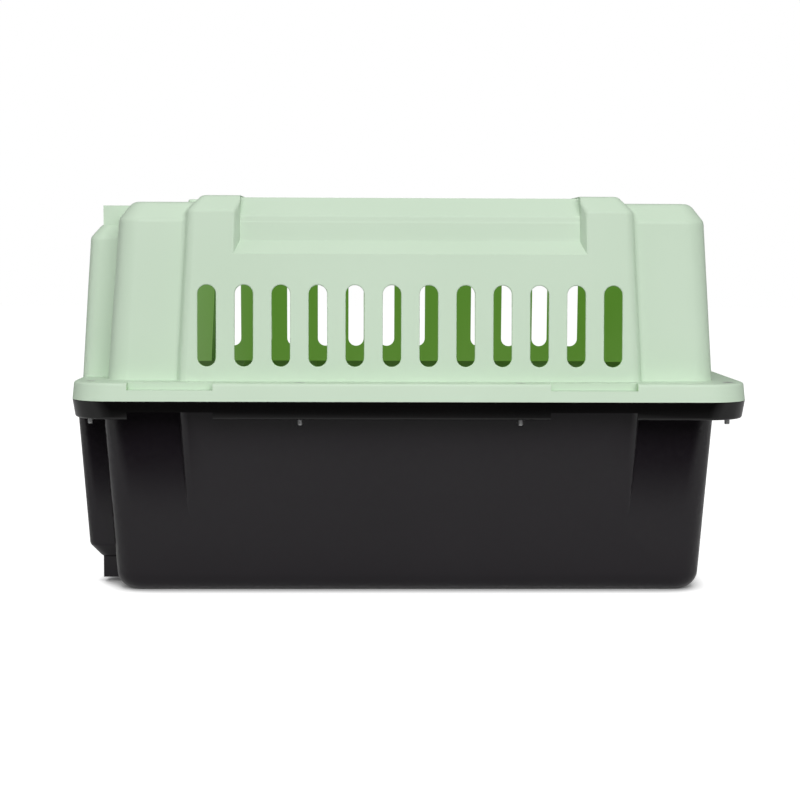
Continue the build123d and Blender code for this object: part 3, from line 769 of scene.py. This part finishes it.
def rounded_section(corners):
    """Points of a rounded square between -1 and 1."""
    squareness = 0.55
    points = []
    for step in range(corners):
        angle = 2 * math.pi * step / corners
        parts = (math.cos(angle), math.sin(angle))
        points.append([math.copysign(abs(part) ** squareness, part) for part in parts])
    return points


def finger_hollow(x):
    """Depth of the hollows under the grip, two on each side of its middle."""
    reach = 2 * FINGER_PITCH
    if abs(x) >= reach:
        return 0.0
    return FINGER_DEPTH * (0.5 - 0.5 * math.cos(2 * math.pi * (x + reach) / FINGER_PITCH))


def carry_handle(material):
    bm = bmesh.new()
    rings = []
    section = rounded_section(28)
    half_height = HANDLE_THICK / 2 - 0.1 * MM
    for x, y, out_x, out_y in handle_path():
        width = HANDLE_ARM + (GRIP_WIDTH - HANDLE_ARM) * out_y
        hollow = finger_hollow(x) if out_y > 0.999 else 0.0
        ring = []
        for across, up in section:
            side = across * width / 2 + hollow * max(-across, 0.0)
            ring.append(bm.verts.new((x + out_x * side, y + out_y * side, PIVOT_Z + up * half_height)))
        rings.append(ring)
    join_rings(bm, rings[:-1], rings[1:])
    bm.faces.new(rings[0])
    bm.faces.new(rings[-1][::-1])
    for end in (-1, 1):
        add_eye(bm, end * (HANDLE_HALF - HANDLE_ARM / 2))
    bmesh.ops.recalc_face_normals(bm, faces=bm.faces)
    mark_sharp(bm, 40.0)
    handle = mesh_object("folding_handle", bm)
    finish_piece(handle, ["carry_handle"], "handle", material)
    even_normals(handle)


def add_eye(bm, middle_x):
    """Round eye with a bore, about an axis along X."""
    count, half = 40, HANDLE_ARM / 2
    outer, bore, edge = 6.0 * MM, 3.06 * MM, 0.6 * MM
    profile = (
        (bore, -half), (outer - edge, -half), (outer, -half + edge),
        (outer, half - edge), (outer - edge, half), (bore, half),
    )
    rings = []
    for radius, offset in profile:
        ring = []
        for step in range(count):
            angle = 2 * math.pi * step / count
            y, z = radius * math.cos(angle), PIVOT_Z + radius * math.sin(angle)
            ring.append(bm.verts.new((middle_x + offset, y, z)))
        rings.append(ring)
    join_rings(bm, rings, rings[1:] + rings[:1])


# Stage

def make_camera():
    camera = bpy.data.cameras.new("camera")
    camera.lens = CAMERA_LENS
    camera.sensor_width = SENSOR_WIDTH
    camera.clip_start = 0.01
    obj = link(bpy.data.objects.new("camera", camera))
    turn = (
        Matrix.Rotation(-math.radians(CAMERA_YAW), 4, "Z")
        @ Matrix.Rotation(math.radians(90.0 - CAMERA_PITCH), 4, "X")
        @ Matrix.Rotation(math.radians(CAMERA_ROLL), 4, "Z")
    )
    obj.matrix_world = Matrix.Translation(CAMERA_SPOT) @ turn
    scene.camera = obj


def area_light(name, spot, target, size, power):
    light = bpy.data.lights.new(name, "AREA")
    light.shape = "RECTANGLE"
    light.size, light.size_y = size
    light.energy = power
    obj = link(bpy.data.objects.new(name, light))
    aim = (Vector(target) - Vector(spot)).to_track_quat("-Z", "Y")
    obj.matrix_world = Matrix.Translation(spot) @ aim.to_matrix().to_4x4()


def make_lights():
    world = bpy.data.worlds.new("studio")
    scene.world = world
    world.use_nodes = True
    nodes, links = world.node_tree.nodes, world.node_tree.links
    background = nodes["Background"]
    rays = nodes.new("ShaderNodeLightPath")
    seen = nodes.new("ShaderNodeMath")
    seen.operation = "MAXIMUM"
    links.new(rays.outputs["Is Camera Ray"], seen.inputs[0])
    links.new(rays.outputs["Is Transmission Ray"], seen.inputs[1])
    level = nodes.new("ShaderNodeMapRange")
    level.inputs["To Min"].default_value = WORLD_LEVEL
    level.inputs["To Max"].default_value = 1.0
    links.new(seen.outputs[0], level.inputs["Value"])
    links.new(level.outputs["Result"], background.inputs["Strength"])
    background.inputs["Color"].default_value = (1.0, 1.0, 1.0, 1.0)
    for name, (spot, target, size, power) in LAMPS.items():
        area_light(name, spot, target, size, power)


def make_floor():
    bm = bmesh.new()
    bmesh.ops.create_grid(bm, x_segments=1, y_segments=1, size=FLOOR_HALF)
    floor = mesh_object("floor", bm)
    floor.data.materials.append(floor_paint())


make_camera()
make_lights()
make_floor()

steel = zinc_steel()
wire = plated_wire()
repeat = repeat_tree("repeat_on_places")

upper_shell(mint_plastic())
lower_shell(black_plastic())
rim_hardware(repeat, steel)
door_wires(repeat, wire)
latch_pieces(latch_plastic(), steel, wire)
latch_springs(steel)
carry_handle(handle_plastic())
dressed(["handle_pins"], "handle_pivot_pins", "carrier", steel, 40.0)

scene.view_settings.view_transform = "Standard"
